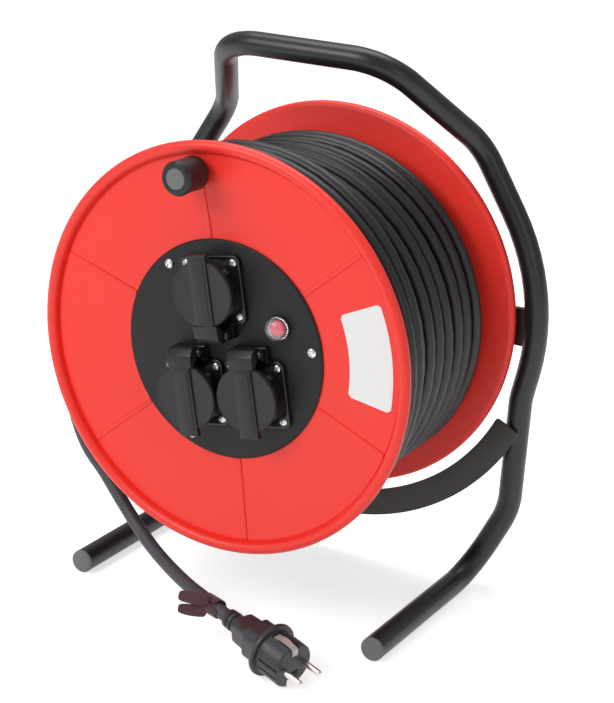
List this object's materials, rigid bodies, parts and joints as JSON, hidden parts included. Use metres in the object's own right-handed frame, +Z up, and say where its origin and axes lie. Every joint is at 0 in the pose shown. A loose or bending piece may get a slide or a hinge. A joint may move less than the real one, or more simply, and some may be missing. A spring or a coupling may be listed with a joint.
{
  "type": "extension cord reel",
  "caption": "Freestanding cable reel: a red drum of rubber cable turns in a bent black tube stand, with covered sockets, a reset button and a crank knob in its face.",
  "frame": {"origin": "centre of the base of the stand and drum, on the floor, without the free cord", "axes": "+Z up; the sockets and the crank knob face -Y; +Y to the rear, along the drum's axle"},
  "size_m": [0.366, 0.2804, 0.4426],
  "materials": {
    "black_paint": "semi-gloss black paint",
    "grey_plastic": "matt grey moulding",
    "zinc_plate": "zinc-plated steel",
    "cable_rubber": "matt dark rubber sheath",
    "black_plastic": "satin black moulding",
    "nickel_plate": "nickel-plated contact",
    "tie_fabric": "dark maroon strap",
    "red_plastic": "bright red moulding",
    "nylon": "natural nylon",
    "clear_plastic": "clear flexible boot",
    "red_button": "red button",
    "white_paper": "blank white film"
  },
  "bodies": {
    "frame": {"frame_tube": "black_paint", "foot_cap_left": "grey_plastic", "foot_cap_right": "grey_plastic", "guard_plate": "black_paint", "hub_crossbar": "black_paint", "axle": "zinc_plate", "rear_washer": "zinc_plate", "rear_nut": "zinc_plate", "front_washer": "zinc_plate", "front_nut": "zinc_plate", "axle_spacer": "black_paint", "free_cord": "cable_rubber", "plug_body": "black_plastic", "plug_pin_left": "nickel_plate", "plug_pin_right": "nickel_plate", "plug_earth_clip_upper": "nickel_plate", "plug_earth_clip_lower": "nickel_plate", "cable_tie": "tie_fabric"},
    "drum": {"knob_bolt": "zinc_plate", "panel_screw_1": "zinc_plate", "panel_screw_2": "zinc_plate", "panel_screw_3": "zinc_plate", "socket_screw_top_1": "zinc_plate", "socket_screw_top_2": "zinc_plate", "socket_screw_top_3": "zinc_plate", "socket_screw_top_4": "zinc_plate", "socket_screw_left_1": "zinc_plate", "socket_screw_left_2": "zinc_plate", "socket_screw_left_3": "zinc_plate", "socket_screw_left_4": "zinc_plate", "socket_screw_right_1": "zinc_plate", "socket_screw_right_2": "zinc_plate", "socket_screw_right_3": "zinc_plate", "socket_screw_right_4": "zinc_plate", "lid_pin_top": "zinc_plate", "lid_pin_left": "zinc_plate", "lid_pin_right": "zinc_plate", "winding_core": "cable_rubber", "winding_outer_layer": "cable_rubber", "bulkhead": "black_plastic", "cover_disc": "black_plastic", "socket_body_top": "black_plastic", "socket_body_left": "black_plastic", "socket_body_right": "black_plastic", "cutout_body": "black_plastic", "front_flange": "red_plastic", "rear_flange": "red_plastic", "drum_barrel": "red_plastic", "bush_front": "nylon", "bush_rear": "nylon", "terminal_block": "nylon", "cutout_boot": "clear_plastic", "rating_label": "white_paper"},
    "crank_knob": {"crank_knob": "black_plastic", "knob_cap": "grey_plastic"},
    "lid_top": {"lid_top": "black_plastic"},
    "lid_left": {"lid_left": "black_plastic"},
    "lid_right": {"lid_right": "black_plastic"},
    "reset_button": {"reset_button": "red_button"}
  },
  "joints": [
    {"name": "drum_spin", "type": "hinge", "parent": "frame", "child": "drum", "pos_m": [0, 0, 0.222], "axis": [0, 1, 0], "continuous": true},
    {"name": "knob_spin", "type": "hinge", "parent": "drum", "child": "crank_knob", "pos_m": [-0.0237, -0.1024, 0.35643], "axis": [0, 1, 0], "continuous": true},
    {"name": "lid_top_hinge", "type": "hinge", "parent": "drum", "child": "lid_top", "pos_m": [-0.00257, -0.0952, 0.23627], "axis": [0.9842, 0, 0.1771], "range_deg": [0, 80], "stiffness_Nm_per_rad": 0.03, "springref_deg": -17.19},
    {"name": "lid_left_hinge", "type": "hinge", "parent": "drum", "child": "lid_left", "pos_m": [-0.0267, -0.0952, 0.21791], "axis": [-0.9842, 0, -0.1771], "range_deg": [0, 80], "stiffness_Nm_per_rad": 0.03, "springref_deg": -17.19},
    {"name": "lid_right_hinge", "type": "hinge", "parent": "drum", "child": "lid_right", "pos_m": [0.02645, -0.0952, 0.22747], "axis": [-0.9842, 0, -0.1771], "range_deg": [0, 80], "stiffness_Nm_per_rad": 0.03, "springref_deg": -17.19},
    {"name": "button_slide", "type": "slide", "parent": "drum", "child": "reset_button", "axis": [0, 1, 0], "range_m": [0, 0.0025], "stiffness_N_per_m": 200}
  ]
}
